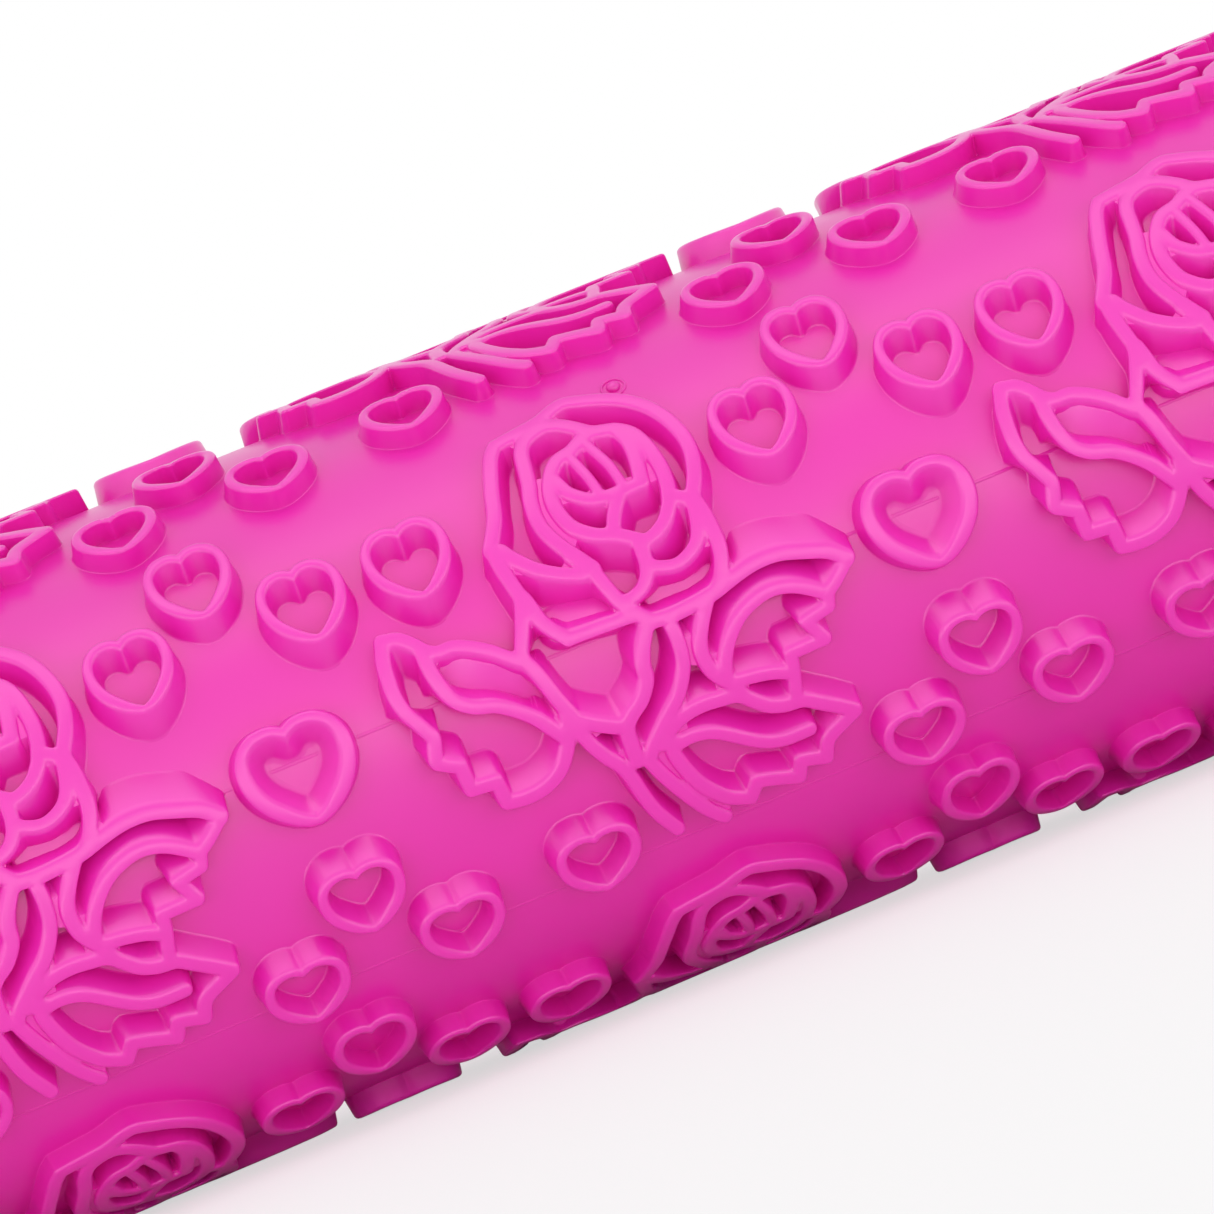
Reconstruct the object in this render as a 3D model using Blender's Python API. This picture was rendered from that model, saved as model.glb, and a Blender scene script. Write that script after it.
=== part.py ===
"""Embossed rolling pin: a moulded barrel that turns freely on a steel axle.

Rose sprays and heart rings stand out of the barrel, which is closed by two end
caps. Each cap holds a nylon bush that runs on the axle, and a grip is clamped
on each end of the axle with a nut, behind a push-in plug. The axle lies along
X, with the origin at the middle of the barrel.
"""
import math

import bmesh
import bpy
from mathutils import Vector
from mathutils.geometry import delaunay_2d_cdt

MM = 0.001

# The barrel: its smooth floor, the embossing on it and the tube's wall
FLOOR_RADIUS = 23.2 * MM
RELIEF_HEIGHT = 1.8 * MM
BARREL_WALL = 3.0 * MM
PATTERN_PITCH = 46.4 * MM
PLAIN_RIM = 6.8 * MM
RIM_CHAMFER = 0.8 * MM
CELLS_ALONG = 4
CELLS_AROUND = 4
SIDES_PER_CELL = 8

# Gap between pieces that touch or run on each other
FIT_GAP = 0.3 * MM

# The axle: thick between the grips, thin where the nuts go
AXLE_RADIUS = 4.0 * MM
THREAD_RADIUS = 3.0 * MM
AXLE_CHAMFER = 0.6 * MM
THREAD_BEYOND_NUT = 1.5 * MM

# End caps and the bushes in them
CAP_FLANGE = 3.0 * MM
CAP_STEP = 0.8 * MM
CAP_ROUND = 1.2 * MM
CAP_PLUG_DEPTH = 8.0 * MM
CAP_PLUG_WALL = 2.6 * MM
HUB_WALL = 3.4 * MM
HUB_DEPTH = 11.0 * MM
BUSH_WALL = 2.2 * MM
BUSH_FLANGE_RADIUS = 9.4 * MM
BUSH_FLANGE = 1.2 * MM
THRUST_WASHER_RADIUS = 9.0 * MM
THRUST_WASHER = 1.0 * MM

# Grips
GRIP_LENGTH = 83.0 * MM
GRIP_COLLAR_RADIUS = 10.6 * MM
GRIP_NECK_RADIUS = 8.2 * MM
GRIP_BELLY_RADIUS = 13.4 * MM
GRIP_TAIL_RADIUS = 10.9 * MM
GRIP_ROUND = 1.6 * MM
COLLAR_ROUND = 0.8 * MM
GRIP_SOCKET_DEPTH = 12.0 * MM
GRIP_POCKET_DEPTH = 15.0 * MM
GRIP_POCKET_RADIUS = 7.6 * MM

# Fastening inside the grip's pocket, and the plug that closes it
STEEL_WASHER_RADIUS = 6.2 * MM
STEEL_WASHER = 1.2 * MM
NUT_ACROSS_FLATS = 10.0 * MM
NUT_HEIGHT = 5.0 * MM
PLUG_SHANK = 4.0 * MM
PLUG_HEAD = 2.8 * MM
PLUG_LIP = 2.2 * MM
PLUG_FACE_RADIUS = 6.4 * MM

# Places that follow from the sizes above
RELIEF_RADIUS = FLOOR_RADIUS + RELIEF_HEIGHT
BORE_RADIUS = FLOOR_RADIUS - BARREL_WALL
BARREL_LENGTH = CELLS_ALONG * PATTERN_PITCH + 2 * PLAIN_RIM
BARREL_END = BARREL_LENGTH / 2
CAP_START = BARREL_END + FIT_GAP
CAP_FACE = CAP_START + CAP_FLANGE
BUSH_BORE_RADIUS = AXLE_RADIUS + FIT_GAP
BUSH_RADIUS = BUSH_BORE_RADIUS + BUSH_WALL
HUB_BORE_RADIUS = BUSH_RADIUS + FIT_GAP
BUSH_START = CAP_START - HUB_DEPTH
BUSH_SEAT = CAP_FACE + FIT_GAP
BUSH_FACE = BUSH_SEAT + BUSH_FLANGE
WASHER_START = BUSH_FACE + FIT_GAP
WASHER_FACE = WASHER_START + THRUST_WASHER
GRIP_START = WASHER_FACE + FIT_GAP
GRIP_END = GRIP_START + GRIP_LENGTH
SHOULDER = GRIP_START + GRIP_SOCKET_DEPTH
POCKET_FLOOR = GRIP_END - GRIP_POCKET_DEPTH
STEEL_WASHER_START = POCKET_FLOOR + FIT_GAP
NUT_START = STEEL_WASHER_START + STEEL_WASHER + FIT_GAP
AXLE_END = NUT_START + NUT_HEIGHT + THREAD_BEYOND_NUT
THREAD_HOLE_RADIUS = THREAD_RADIUS + FIT_GAP
PLUG_SEAT = GRIP_END + FIT_GAP

ROUND_SIDES = 24
GRIP_SIDES = 28
NUT_CORNERS = 6
ROUND_STEPS = 2
SHARP_ANGLE = math.radians(32)

# The pattern repeats once in each quarter turn, and each repeat is one row
QUARTER_TURN = math.tau / CELLS_AROUND
BARREL_SIDES = SIDES_PER_CELL * CELLS_AROUND

# The mould opens in slides. Each row of the pattern lies in two of them, and
# the sides of the embossing lean along the way its own slide leaves.
UPPER_SLIDE_ANGLE = math.radians(-60)
LOWER_SLIDE_ANGLE = math.radians(46)
PARTING_SHARE = -0.015
PARTING_ROUND_LEAF_SHARE = -0.075
LEAF_SPAN_SHARES = (0.64, 0.85)

# One cell of the pattern, as shares: along the barrel of the pitch, and around
# it of a quarter turn. The first ring is the spray's edge, the rest are its
# openings.
ROSE_SHARES = (
    ((0.146, -0.167), (0.119, -0.070), (0.146, 0.090), (0.172, 0.110), (0.182, 0.164),
     (0.216, 0.170), (0.226, 0.208), (0.310, 0.205), (0.362, 0.125), (0.395, 0.215),
     (0.455, 0.376), (0.472, 0.372), (0.446, 0.262), (0.518, 0.404), (0.534, 0.392),
     (0.488, 0.315), (0.470, 0.232), (0.512, 0.330), (0.578, 0.386), (0.600, 0.362),
     (0.710, 0.378), (0.774, 0.292), (0.706, 0.222), (0.712, 0.160),
     (0.766, 0.157), (0.790, 0.080), (0.840, 0.028), (0.740, -0.042), (0.668, -0.030),
     (0.668, -0.182), (0.696, -0.280), (0.655, -0.415), (0.545, -0.480), (0.420, -0.446),
     (0.342, -0.245), (0.346, -0.150), (0.315, -0.045), (0.228, -0.114)),
    ((0.158, -0.135), (0.190, -0.110), (0.205, 0.000), (0.290, 0.065), (0.328, 0.125),
     (0.245, 0.182), (0.190, 0.100)),
    ((0.208, -0.085), (0.250, -0.080), (0.340, 0.060), (0.225, -0.005)),
    ((0.435, -0.415), (0.420, -0.260), (0.450, -0.165), (0.368, -0.245)),
    ((0.545, -0.450), (0.640, -0.385), (0.668, -0.280), (0.650, -0.198), (0.642, -0.320),
     (0.568, -0.390)),
    ((0.470, -0.395), (0.545, -0.382), (0.478, -0.330), (0.470, -0.215), (0.548, -0.140),
     (0.510, -0.070), (0.446, -0.260)),
    ((0.495, -0.325), (0.592, -0.350), (0.592, -0.260), (0.525, -0.260)),
    ((0.484, -0.262), (0.612, -0.232), (0.562, -0.156)),
    ((0.374, -0.180), (0.462, -0.118), (0.486, -0.045), (0.405, -0.045)),
    ((0.520, -0.040), (0.652, -0.130), (0.635, -0.030)),
    ((0.363, -0.095), (0.392, -0.014), (0.505, -0.010), (0.434, 0.138), (0.345, 0.035)),
    ((0.630, 0.003), (0.720, -0.016), (0.818, 0.026), (0.700, 0.008), (0.594, 0.120)),
    ((0.612, 0.138), (0.700, 0.042), (0.768, 0.082), (0.690, 0.135)),
    ((0.505, 0.198), (0.580, 0.190), (0.745, 0.285), (0.690, 0.335), (0.585, 0.342),
     (0.515, 0.290)),
    ((0.532, 0.022), (0.540, 0.085), (0.448, 0.205), (0.500, 0.060)),
)

# Heart rings: centre along and around, then width and height
HEART_SHARES = (
    (0.068, -0.277, 0.134, 0.160),
    (0.235, -0.277, 0.134, 0.160),
    (0.795, -0.277, 0.134, 0.160),
    (0.928, -0.404, 0.132, 0.165),
    (0.966, 0.005, 0.180, 0.194),
    (0.984, 0.262, 0.132, 0.132),
    (0.110, 0.398, 0.134, 0.130),
    (0.335, 0.376, 0.134, 0.130),
    (0.862, 0.398, 0.134, 0.130),
)

# A heart's outer edge and its opening, as shares of its width and height
HEART_EDGE_SHARES = (
    ((0.00, -0.36), (0.27, -0.50), (0.50, -0.20), (0.00, 0.50), (-0.50, -0.20), (-0.27, -0.50)),
    ((0.32, -0.21), (0.00, 0.30), (-0.32, -0.21)),
)

# Points that keep the open floor round between the motifs
FLOOR_POINT_SHARES = ((0.90, -0.20), (0.06, 0.14), (0.86, 0.17), (0.76, -0.44))

# The line between two rows, where no motif reaches, and the points on it
ROW_SEAM_SHARE = 0.489
ROW_START_SHARE = ROW_SEAM_SHARE - 1
SEAM_POINT_SHARES = (0.0, 0.35, 0.70)

# The place in the pattern that lies at the middle of the barrel, and how near
# two places in it count as one
PATTERN_MIDDLE_SHARE = 2.025
SAME_PLACE_SHARE = 0.00001

# The grip's stations from the collar to the tail, and the steps between them
GRIP_STATION_SHARES = (0.04, 0.20, 0.62, 0.97)
GRIP_STEPS = (3, 5, 4)

# How far the end cap's cup reaches into its flange, and where the end plug's
# domed head starts to bend and is half way in
CUP_DEPTH_SHARE = 0.17
PLUG_EDGE_SHARE = 0.33
PLUG_DOME_SHARE = 0.80


def clear_scene():
    for old in list(bpy.data.objects):
        bpy.data.objects.remove(old, do_unlink=True)


def plastic(name, colour, roughness, metallic=0.0):
    material = bpy.data.materials.new(name)
    material.use_nodes = True
    shader = material.node_tree.nodes["Principled BSDF"]
    shader.inputs["Base Color"].default_value = (*colour, 1.0)
    shader.inputs["Roughness"].default_value = roughness
    shader.inputs["Metallic"].default_value = metallic
    material.diffuse_color = (*colour, 1.0)
    return material


def add_piece(name, points, faces, material):
    """Make one closed object from points and faces, with its faces turned outwards."""
    mesh = bpy.data.meshes.new(name)
    mesh.from_pydata([tuple(point) for point in points], [], faces)
    solid = bmesh.new()
    solid.from_mesh(mesh)
    bmesh.ops.recalc_face_normals(solid, faces=solid.faces)
    solid.to_mesh(mesh)
    solid.free()
    mesh.shade_smooth()
    mesh.set_sharp_from_angle(angle=SHARP_ANGLE)
    mesh.materials.append(material)
    piece = bpy.data.objects.new(name, mesh)
    bpy.context.scene.collection.objects.link(piece)
    return piece


def around_axis(along, radius, angle):
    """A point on a circle about X; angle 0 faces -Y and a positive one goes down."""
    return Vector((along, -radius * math.cos(angle), -radius * math.sin(angle)))


def turned(name, profile, sides, material, side=1):
    """Turn a closed outline of (along, radius) about X; side -1 mirrors it to the left.

    A corner with radius zero becomes one point on the axis.
    """
    points = []
    rings = []
    for along, radius in profile:
        first = len(points)
        if radius == 0:
            points.append(around_axis(side * along, 0, 0))
            rings.append([first] * sides)
            continue
        for step in range(sides):
            points.append(around_axis(side * along, radius, math.tau * step / sides))
        rings.append(list(range(first, first + sides)))
    faces = []
    closed = all(radius > 0 for along, radius in profile)
    count = len(rings) if closed else len(rings) - 1
    for index in range(count):
        ring = rings[index]
        following = rings[(index + 1) % len(rings)]
        for step in range(sides):
            after = (step + 1) % sides
            corners = [ring[step], ring[after], following[after], following[step]]
            face = list(dict.fromkeys(corners))
            if len(face) > 2:
                faces.append(face)
    return add_piece(name, points, faces, material)


def quarter_round(along, radius, size):
    """Points that round a turned corner, from its end face to its side."""
    points = []
    for step in range(ROUND_STEPS + 1):
        angle = math.pi / 2 * step / ROUND_STEPS
        back = size * (1 - math.cos(angle))
        inwards = size * (1 - math.sin(angle))
        points.append((along - back, radius - inwards))
    return points


def place_heart(along, around, width, height):
    rings = []
    for edge in HEART_EDGE_SHARES:
        rings.append([(along + width * x, around + height * y) for x, y in edge])
    return rings


def pattern_rings():
    """The outlines of every motif in one row, in pitches along and quarter turns around."""
    rings = []
    for cell in range(CELLS_ALONG):
        for ring in ROSE_SHARES:
            rings.append([(cell + along, around) for along, around in ring])
        for along, around, width, height in HEART_SHARES:
            rings.extend(place_heart(cell + along, around, width, height))
    return rings


def is_raised(rings, along, around):
    """Whether a place lies inside an odd number of outlines."""
    inside = False
    for ring in rings:
        for (x0, y0), (x1, y1) in zip(ring, ring[1:] + ring[:1]):
            if (y0 > around) != (y1 > around):
                if along < x0 + (x1 - x0) * (around - y0) / (y1 - y0):
                    inside = not inside
    return inside


def slide_angle(along, around):
    """The way the mould slide leaves at this place, as an angle in its row."""
    within = along % 1
    parting = PARTING_SHARE
    if LEAF_SPAN_SHARES[0] < within < LEAF_SPAN_SHARES[1]:
        parting = PARTING_ROUND_LEAF_SHARE
    return UPPER_SLIDE_ANGLE if around < parting else LOWER_SLIDE_ANGLE


def floor_point(along, around, row):
    """A pattern place on the barrel's floor, straight under that place."""
    x = (along - PATTERN_MIDDLE_SHARE) * PATTERN_PITCH
    return around_axis(x, FLOOR_RADIUS, (around + row) * QUARTER_TURN)


def top_point(along, around, row):
    """A pattern place on top of the embossing."""
    x = (along - PATTERN_MIDDLE_SHARE) * PATTERN_PITCH
    return around_axis(x, RELIEF_RADIUS, (around + row) * QUARTER_TURN)


def foot_point(along, around, row):
    """Where the side that comes down from a place on top meets the floor."""
    lean = math.tan(slide_angle(along, around) - around * QUARTER_TURN)
    shift = lean * RELIEF_HEIGHT / RELIEF_RADIUS
    return floor_point(along, around - shift / QUARTER_TURN, row)


def barrel_ends():
    """Where the pattern's floor stops at the two chamfered rims."""
    reach = (BARREL_END - RIM_CHAMFER) / PATTERN_PITCH
    return PATTERN_MIDDLE_SHARE - reach, PATTERN_MIDDLE_SHARE + reach


def plain_places():
    """Places on the floor of one row that belong to no motif."""
    places = []
    for cell in range(CELLS_ALONG):
        places.extend((cell + along, around) for along, around in FLOOR_POINT_SHARES)
    for along in barrel_ends():
        for step in range(SIDES_PER_CELL + 1):
            places.append((along, ROW_START_SHARE + step / SIDES_PER_CELL))
    for cell in range(CELLS_ALONG):
        for share in SEAM_POINT_SHARES:
            places.append((cell + share, ROW_START_SHARE))
            places.append((cell + share, ROW_SEAM_SHARE))
    return places


def row_layout():
    """One unrolled row as flat triangles.

    Returns its places, how many of them belong to motifs, the motifs' outlines
    as place numbers, the triangles, and whether each of these is raised.
    """
    rings = pattern_rings()
    places = []
    outlines = []
    for ring in rings:
        outlines.append(list(range(len(places), len(places) + len(ring))))
        places.extend(ring)
    motif_count = len(places)
    places.extend(plain_places())
    edges = []
    for outline in outlines:
        edges.extend(zip(outline, outline[1:] + outline[:1]))
    flat = [Vector(place) for place in places]
    result = delaunay_2d_cdt(flat, edges, [], 0, SAME_PLACE_SHARE)
    origins = [sources[0] for sources in result[3]]
    triangles = [[origins[number] for number in face] for face in result[2]]
    raised = []
    for face in triangles:
        along = sum(places[number][0] for number in face) / len(face)
        around = sum(places[number][1] for number in face) / len(face)
        raised.append(is_raised(rings, along, around))
    return places, motif_count, outlines, triangles, raised


def plain_point_number(place, row, points, shared):
    """The number of a floor point, which is made once where two rows meet."""
    along, around = place
    turn = round((around + row - ROW_START_SHARE) * SIDES_PER_CELL) % BARREL_SIDES
    at_edge = along in barrel_ends() or around in (ROW_START_SHARE, ROW_SEAM_SHARE)
    key = (along, turn) if at_edge else (along, around, row)
    if key not in shared:
        shared[key] = len(points)
        points.append(floor_point(along, around, row))
    return shared[key]


def add_rim(points, faces, outer, side):
    """Close one end of the tube from the floor's edge to the bore's edge."""
    rim = []
    inner = []
    for number in outer:
        spoke = points[number].copy()
        spoke.x = 0
        spoke.normalize()
        end = Vector((side * BARREL_END, 0, 0))
        rim.append(len(points))
        points.append(spoke * (FLOOR_RADIUS - RIM_CHAMFER) + end)
        inner.append(len(points))
        points.append(spoke * BORE_RADIUS + end)
    bridge(faces, outer, rim)
    bridge(faces, rim, inner)
    return inner


def bridge(faces, ring, following):
    """Join two rings of equal count with four-sided faces."""
    for step in range(len(ring)):
        after = (step + 1) % len(ring)
        faces.append([ring[step], ring[after], following[after], following[step]])


def barrel(material):
    """The embossed tube: four rows of pattern, chamfered rims and a plain bore."""
    places, motif_count, outlines, triangles, raised = row_layout()
    points = []
    faces = []
    shared = {}
    for row in range(CELLS_AROUND):
        feet = []
        tops = []
        for number, place in enumerate(places):
            if number < motif_count:
                feet.append(len(points))
                points.append(foot_point(*place, row))
                tops.append(len(points))
                points.append(top_point(*place, row))
            else:
                feet.append(plain_point_number(place, row, points, shared))
                tops.append(feet[-1])
        for face, up in zip(triangles, raised):
            faces.append([tops[number] if up else feet[number] for number in face])
        for outline in outlines:
            for number, after in zip(outline, outline[1:] + outline[:1]):
                faces.append([feet[number], feet[after], tops[after], tops[number]])
    inner_rings = []
    for along, side in zip(barrel_ends(), (-1, 1)):
        outer = [shared[along, turn] for turn in range(BARREL_SIDES)]
        inner_rings.append(add_rim(points, faces, outer, side))
    bridge(faces, *inner_rings)
    return add_piece("embossed_barrel", points, faces, material)


def end_cap(name, side, material):
    plug_radius = BORE_RADIUS - FIT_GAP
    flange_radius = FLOOR_RADIUS - CAP_STEP
    hub_radius = HUB_BORE_RADIUS + HUB_WALL
    cup_floor = CAP_START + CAP_FLANGE * CUP_DEPTH_SHARE
    profile = (
        (CAP_FACE, HUB_BORE_RADIUS),
        *quarter_round(CAP_FACE, flange_radius, CAP_ROUND),
        (CAP_START, flange_radius),
        (CAP_START, plug_radius),
        (CAP_START - CAP_PLUG_DEPTH, plug_radius),
        (CAP_START - CAP_PLUG_DEPTH, plug_radius - CAP_PLUG_WALL),
        (cup_floor, plug_radius - CAP_PLUG_WALL),
        (cup_floor, hub_radius),
        (BUSH_START, hub_radius),
        (BUSH_START, HUB_BORE_RADIUS),
    )
    return turned(name, profile, BARREL_SIDES, material, side)


def bearing_bush(name, side, material):
    profile = (
        (BUSH_START, BUSH_BORE_RADIUS),
        (BUSH_FACE, BUSH_BORE_RADIUS),
        (BUSH_FACE, BUSH_FLANGE_RADIUS),
        (BUSH_SEAT, BUSH_FLANGE_RADIUS),
        (BUSH_SEAT, BUSH_RADIUS),
        (BUSH_START, BUSH_RADIUS),
    )
    return turned(name, profile, ROUND_SIDES, material, side)


def flat_washer(name, side, start, thickness, hole_radius, radius, material):
    profile = (
        (start, hole_radius),
        (start, radius),
        (start + thickness, radius),
        (start + thickness, hole_radius),
    )
    return turned(name, profile, ROUND_SIDES, material, side)


def axle(material):
    end_half = (
        (SHOULDER - AXLE_CHAMFER, AXLE_RADIUS),
        (SHOULDER, AXLE_RADIUS - AXLE_CHAMFER),
        (SHOULDER, THREAD_RADIUS),
        (AXLE_END - AXLE_CHAMFER, THREAD_RADIUS),
        (AXLE_END, THREAD_RADIUS - AXLE_CHAMFER),
        (AXLE_END, 0),
    )
    start_half = tuple((-along, radius) for along, radius in reversed(end_half))
    return turned("axle_rod", start_half + end_half, ROUND_SIDES, material)


def grip_outline():
    """The grip's outer side from the collar to the tail, as (along, radius)."""
    radii = (GRIP_COLLAR_RADIUS, GRIP_NECK_RADIUS, GRIP_BELLY_RADIUS, GRIP_TAIL_RADIUS)
    stations = [GRIP_START + share * GRIP_LENGTH for share in GRIP_STATION_SHARES]
    outline = [(GRIP_START, GRIP_COLLAR_RADIUS - COLLAR_ROUND)]
    for index, count in enumerate(GRIP_STEPS):
        length = stations[index + 1] - stations[index]
        rise = radii[index + 1] - radii[index]
        for step in range(count):
            ease = (1 - math.cos(math.pi * step / count)) / 2
            outline.append((stations[index] + length * step / count, radii[index] + rise * ease))
    outline.extend(reversed(quarter_round(GRIP_END, GRIP_TAIL_RADIUS, GRIP_ROUND)))
    return outline


def grip(name, side, material):
    inside = [
        (GRIP_END, GRIP_POCKET_RADIUS),
        (POCKET_FLOOR, GRIP_POCKET_RADIUS),
        (POCKET_FLOOR, THREAD_HOLE_RADIUS),
        (SHOULDER + FIT_GAP, THREAD_HOLE_RADIUS),
        (SHOULDER + FIT_GAP, BUSH_BORE_RADIUS),
        (GRIP_START, BUSH_BORE_RADIUS),
    ]
    return turned(name, grip_outline() + inside, GRIP_SIDES, material, side)


def lock_nut(name, side, material):
    """A hexagon nut with a round hole."""
    sides = 2 * NUT_CORNERS
    corner_radius = NUT_ACROSS_FLATS / 2 / math.cos(math.pi / NUT_CORNERS)
    points = []
    for along in (NUT_START, NUT_START + NUT_HEIGHT):
        for radii in ((THREAD_HOLE_RADIUS, THREAD_HOLE_RADIUS), (corner_radius, NUT_ACROSS_FLATS / 2)):
            for step in range(sides):
                radius = radii[step % 2]
                points.append(around_axis(side * along, radius, math.tau * step / sides))
    near_hole, near_edge, far_hole, far_edge = (
        list(range(first, first + sides)) for first in range(0, 4 * sides, sides)
    )
    faces = []
    bridge(faces, near_hole, near_edge)
    bridge(faces, near_edge, far_edge)
    bridge(faces, far_edge, far_hole)
    bridge(faces, far_hole, near_hole)
    return add_piece(name, points, faces, material)


def end_plug(name, side, material):
    shank_radius = GRIP_POCKET_RADIUS - FIT_GAP
    head_radius = GRIP_POCKET_RADIUS + PLUG_LIP
    profile = (
        (GRIP_END - PLUG_SHANK, 0),
        (GRIP_END - PLUG_SHANK, shank_radius),
        (PLUG_SEAT, shank_radius),
        (PLUG_SEAT, head_radius),
        (PLUG_SEAT + PLUG_HEAD * PLUG_EDGE_SHARE, head_radius),
        (PLUG_SEAT + PLUG_HEAD * PLUG_DOME_SHARE, (head_radius + PLUG_FACE_RADIUS) / 2),
        (PLUG_SEAT + PLUG_HEAD, PLUG_FACE_RADIUS),
        (PLUG_SEAT + PLUG_HEAD, 0),
    )
    return turned(name, profile, ROUND_SIDES, material, side)


def build():
    clear_scene()
    pink = plastic("pink_gloss_plastic", (0.78, 0.045, 0.37), 0.25)
    nylon = plastic("white_nylon", (0.80, 0.79, 0.75), 0.45)
    steel = plastic("bright_steel", (0.62, 0.62, 0.63), 0.25, 1.0)
    barrel(pink)
    axle(steel)
    for end, side in (("left", -1), ("right", 1)):
        end_cap("end_cap_" + end, side, pink)
        bearing_bush("bearing_bush_" + end, side, nylon)
        flat_washer("thrust_washer_" + end, side, WASHER_START, THRUST_WASHER,
                    BUSH_BORE_RADIUS, THRUST_WASHER_RADIUS, nylon)
        grip("grip_" + end, side, pink)
        flat_washer("steel_washer_" + end, side, STEEL_WASHER_START, STEEL_WASHER,
                    THREAD_HOLE_RADIUS, STEEL_WASHER_RADIUS, steel)
        lock_nut("lock_nut_" + end, side, steel)
        end_plug("end_plug_" + end, side, pink)


build()
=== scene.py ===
"""Embossed rolling pin: rose sprays and heart rings on a barrel of pink plastic.

The barrel turns freely on a steel axle, between two grips of the same plastic.
The axle lies along X, with the middle of the barrel at the origin, and the
camera looks along +Y at the side of the barrel that the photograph shows.
"""
import math

import bmesh
import bpy
import numpy as np
from mathutils import Matrix, Vector
from mathutils.geometry import delaunay_2d_cdt


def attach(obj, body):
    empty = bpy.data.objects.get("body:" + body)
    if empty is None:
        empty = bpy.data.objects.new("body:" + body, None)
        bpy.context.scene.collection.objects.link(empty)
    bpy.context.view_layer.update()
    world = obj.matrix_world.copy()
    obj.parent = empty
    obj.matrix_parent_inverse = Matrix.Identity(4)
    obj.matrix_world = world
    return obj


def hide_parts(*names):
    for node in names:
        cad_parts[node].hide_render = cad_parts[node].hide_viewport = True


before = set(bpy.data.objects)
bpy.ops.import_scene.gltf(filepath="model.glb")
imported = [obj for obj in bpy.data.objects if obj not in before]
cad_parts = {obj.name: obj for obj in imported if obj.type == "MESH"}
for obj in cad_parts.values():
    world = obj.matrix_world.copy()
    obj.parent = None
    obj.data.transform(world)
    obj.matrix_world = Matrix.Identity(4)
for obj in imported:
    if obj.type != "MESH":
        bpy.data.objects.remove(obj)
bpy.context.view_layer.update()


# The barrel's tube, moulded in glossy hot-pink plastic. It is open at both ends
# until the caps go in, and its smooth floor shows between the rose sprays and
# the hearts.
MM = 0.001
FLOOR_RADIUS = 23.2 * MM
BORE_RADIUS = 20.2 * MM
BARREL_END = 99.6 * MM
RIM_CHAMFER = 0.8 * MM
BARREL_SIDES = 192
BARREL_STATION_GAP = 20 * MM
# The clouds' two pinks on the floor, painted deeper there as shade, and those on the tops of the
# ridges, painted paler there as light
SHADED_FLOOR_PINKS = ((0.735, 0.005, 0.375, 1), (0.83, 0.008, 0.435, 1))
LIT_TOP_PINKS = ((0.82, 0.012, 0.44, 1), (0.86, 0.018, 0.47, 1))
DUST_PINK = (0.95, 0.55, 0.75, 1)
DUSTY_CELLS_ABOVE = 0.985
DUST_SIZE = 0.055
DUST_STRENGTH = 0.35


class Term:
    """One value among a tree's nodes, which takes Python's arithmetic."""

    def __init__(self, nodes, socket):
        self.nodes = nodes
        self.socket = socket

    def math(self, operation, *others, before=False):
        values = [*others, self] if before else [self, *others]
        made = self.nodes.node("ShaderNodeMath", {"operation": operation}, dict(enumerate(values)))
        return made["Value"]

    def __add__(self, other):
        return self.math("ADD", other)

    def __sub__(self, other):
        return self.math("SUBTRACT", other)

    def __mul__(self, other):
        return self.math("MULTIPLY", other)

    def __rsub__(self, other):
        return self.math("SUBTRACT", other, before=True)

    def __gt__(self, other):
        return self.math("GREATER_THAN", other)

    def __lt__(self, other):
        return self.math("LESS_THAN", other)

    __radd__ = __add__
    __rmul__ = __mul__


class Nodes:
    """A tree of nodes under way, with its nodes' outputs handed out as terms."""

    def __init__(self, tree):
        self.tree = tree

    def fill(self, socket, value):
        if isinstance(value, Term):
            self.tree.links.new(value.socket, socket)
        else:
            socket.default_value = value

    def node(self, kind, settings=None, inputs=None):
        """Add any node: its settings first, then the values or links of its sockets."""
        made = self.tree.nodes.new(kind)
        for name, value in (settings or {}).items():
            setattr(made, name, value)
        for name, value in (inputs or {}).items():
            self.fill(made.inputs[name], value)
        return {output.name: Term(self, output) for output in made.outputs if output.enabled}


class Finish(Nodes):
    """A material under way, on the object's own coordinates."""

    def __init__(self, name, colour, roughness, **constants):
        self.material = bpy.data.materials.new(name)
        self.material.use_nodes = True
        self.material.diffuse_color = (*colour, 1)
        super().__init__(self.material.node_tree)
        self.shader = self.tree.nodes["Principled BSDF"]
        self.set_input("Base Color", (*colour, 1))
        self.set_input("Roughness", roughness)
        for socket, value in constants.items():
            self.set_input(socket.replace("_", " "), value)
        self.place = self.node("ShaderNodeTexCoord")["Object"]
        self.parts = self.node("ShaderNodeSeparateXYZ", {}, {0: self.place})

    def set_input(self, name, value):
        self.fill(self.shader.inputs[name], value)

    def from_axis(self):
        """How far a place lies from the axle's centre line."""
        return (self.parts["Y"] * self.parts["Y"] + self.parts["Z"] * self.parts["Z"]).math("SQRT")

    def noise(self, scale, detail=2.0, stretch=(1, 1, 1)):
        moved = self.node("ShaderNodeMapping", {}, {"Vector": self.place, "Scale": stretch})["Vector"]
        inputs = {"Vector": moved, "Scale": scale, "Detail": detail}
        return self.node("ShaderNodeTexNoise", {}, inputs)["Fac"]

    def mix(self, factor, first, second):
        """A colour between two, four numbers or a term each, in the node's colour sockets."""
        inputs = {0: factor, 6: first, 7: second}
        return self.node("ShaderNodeMix", {"data_type": "RGBA"}, inputs)["Result"]

    def bump(self, height, distance):
        inputs = {"Height": height, "Distance": distance}
        self.set_input("Normal", self.node("ShaderNodeBump", {}, inputs)["Normal"])


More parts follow.
